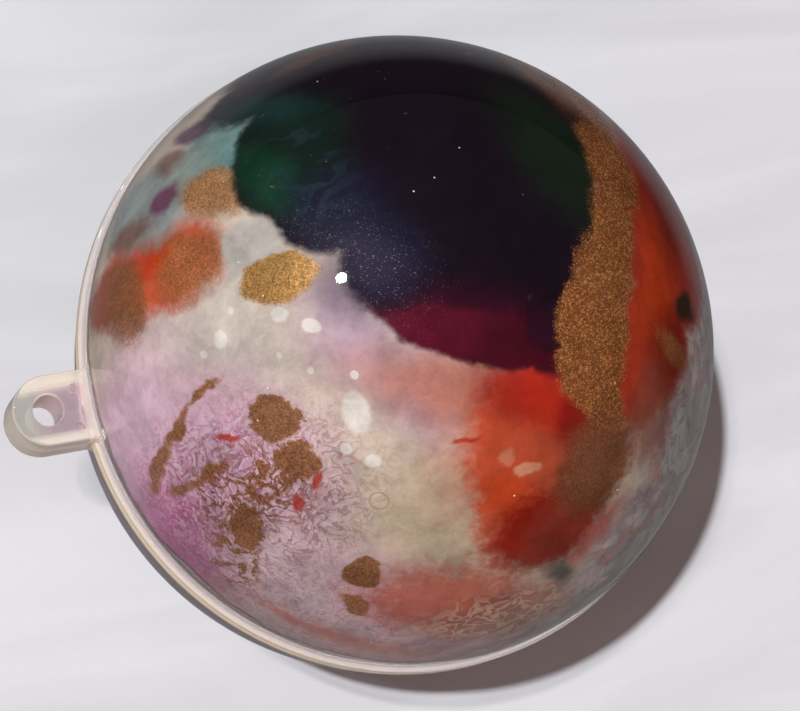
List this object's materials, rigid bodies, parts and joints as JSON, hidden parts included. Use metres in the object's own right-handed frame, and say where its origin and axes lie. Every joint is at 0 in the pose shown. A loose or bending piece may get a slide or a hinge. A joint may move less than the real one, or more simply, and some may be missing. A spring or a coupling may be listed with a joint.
{
  "type": "fillable ball ornament",
  "caption": "Hanging ball ornament: two clear plastic shells with a snap rim and a pierced tab, lined with swirled ink film, that pull apart.",
  "frame": {"origin": "middle of the hanging eye, on the seam plane between the two shells", "axes": "+Z along the eye and the pole axis of the ball, towards the upper shell, +X from the eye to the middle of the ball"},
  "size_m": [0.0907, 0.0812, 0.084],
  "materials": {
    "clear_shell": "clear polished polystyrene",
    "upper_ink": "dried alcohol inks and copper pigment on the inside of the shell",
    "lower_ink": "dried alcohol inks and copper pigment on the inside of the shell"
  },
  "bodies": {
    "lower_half": {"lower_shell": "clear_shell", "lower_ink_film": "lower_ink"},
    "upper_half": {"upper_shell": "clear_shell", "upper_ink_film": "upper_ink"}
  },
  "joints": [
    {"name": "halves_open", "type": "slide", "parent": "lower_half", "child": "upper_half", "axis": [0, 0, 1], "range_m": [0, 0.045]}
  ]
}
